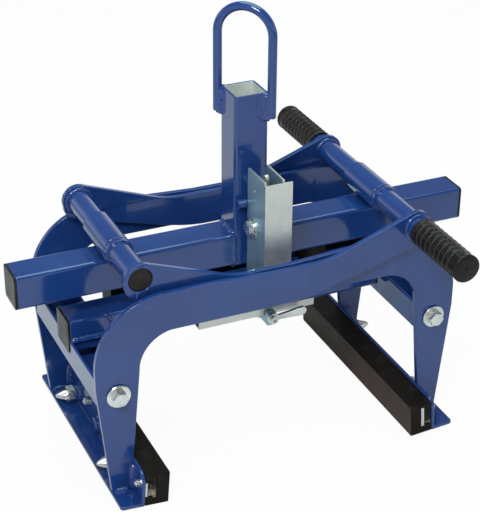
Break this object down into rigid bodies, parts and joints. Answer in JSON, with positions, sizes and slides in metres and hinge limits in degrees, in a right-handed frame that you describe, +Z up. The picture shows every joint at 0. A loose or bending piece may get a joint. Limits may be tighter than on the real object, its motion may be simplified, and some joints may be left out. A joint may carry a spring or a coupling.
{
  "type": "lifting clamp",
  "caption": "Self-closing clamp for lifting stair treads: hanging beam with an eye, crossing jaw plates, rubber-faced feet, carrying handle, sliding width bar and latch.",
  "frame": {"origin": "on the floor under the axis of the lifting post, clamp open and closed up to its narrowest width", "axes": "+X along the lifting beam towards the carrying handle, +Y to the rear, +Z up"},
  "size_m": [0.69, 0.544, 0.6355],
  "materials": {
    "blue_powder_coat": "glossy powder coat over welded steel",
    "black_rubber": "moulded, slightly satin",
    "black_plastic": "moulded tube caps",
    "black_coat": "matte black coat",
    "zinc": "bright zinc plating"
  },
  "bodies": {
    "base": {"base_tube": "blue_powder_coat", "base_tube_caps": "black_plastic", "left_crossbar": "blue_powder_coat", "left_pivot_bolts": "zinc", "beam_buffers": "black_rubber", "latch_bracket": "blue_powder_coat", "latch_channel": "zinc", "latch_bolt": "zinc", "slide_guides": "blue_powder_coat", "lock_rail": "zinc", "lock_block": "zinc", "lock_nut": "zinc", "lock_screw": "zinc"},
    "pawl": {"latch_pawl": "zinc"},
    "lever": {"lock_lever": "zinc"},
    "carriage": {"slide_bar": "black_coat", "slide_bar_caps": "black_plastic", "right_crossbar": "blue_powder_coat", "right_pivot_bolts": "zinc"},
    "lift_beam": {"beam_left": "blue_powder_coat", "beam_right": "blue_powder_coat", "beam_caps": "black_plastic", "lifting_post": "blue_powder_coat", "lifting_eye": "blue_powder_coat", "post_pin": "blue_powder_coat"},
    "left_jaw": {"left_front_plate": "blue_powder_coat", "left_rear_plate": "blue_powder_coat", "handle_tube": "blue_powder_coat", "front_grip": "black_rubber", "rear_grip": "black_rubber", "left_foot_angle": "blue_powder_coat", "left_rubber": "black_rubber", "left_clamp_strip": "zinc", "left_cone_nuts": "zinc", "left_foot_bolts": "zinc"},
    "right_jaw": {"right_front_plate": "blue_powder_coat", "right_rear_plate": "blue_powder_coat", "roller_tube": "blue_powder_coat", "roller_tube_plugs": "black_plastic", "right_foot_angle": "blue_powder_coat", "right_rubber": "black_rubber", "right_clamp_strip": "zinc", "right_cone_nuts": "zinc", "right_foot_bolts": "zinc"},
    "handle_roller": {"handle_roller": "blue_powder_coat"},
    "tube_roller": {"tube_roller": "blue_powder_coat"}
  },
  "joints": [
    {"name": "beam_lift", "type": "slide", "parent": "base", "child": "lift_beam", "axis": [0, 0, 1], "range_m": [0, 0.06]},
    {"name": "left_jaw_pivot", "type": "hinge", "parent": "base", "child": "left_jaw", "pos_m": [-0.245, 0, 0.166], "axis": [0, -1, 0], "range_deg": [0, 8]},
    {"name": "width_slide", "type": "slide", "parent": "base", "child": "carriage", "axis": [1, 0, 0], "range_m": [0, 0.12]},
    {"name": "right_jaw_pivot", "type": "hinge", "parent": "carriage", "child": "right_jaw", "pos_m": [0.245, 0, 0.166], "axis": [0, 1, 0], "range_deg": [0, 8]},
    {"name": "handle_roller_spin", "type": "hinge", "parent": "left_jaw", "child": "handle_roller", "pos_m": [0.2005, 0, 0.3268], "axis": [0, 1, 0], "continuous": true},
    {"name": "tube_roller_spin", "type": "hinge", "parent": "right_jaw", "child": "tube_roller", "pos_m": [-0.204, 0, 0.3268], "axis": [0, 1, 0], "continuous": true},
    {"name": "pawl_pivot", "type": "hinge", "parent": "base", "child": "pawl", "pos_m": [0.004, -0.054, 0.328], "axis": [-1, 0, 0], "range_deg": [0, 14]},
    {"name": "lever_pivot", "type": "hinge", "parent": "base", "child": "lever", "pos_m": [0.033, -0.0338, 0.16], "axis": [0, 1, 0], "range_deg": [0, 95]}
  ],
  "couplings": [
    {"joint": "left_jaw_pivot", "follows": "beam_lift", "rad_per_m": 2.301},
    {"joint": "right_jaw_pivot", "follows": "beam_lift", "rad_per_m": 2.301}
  ]
}
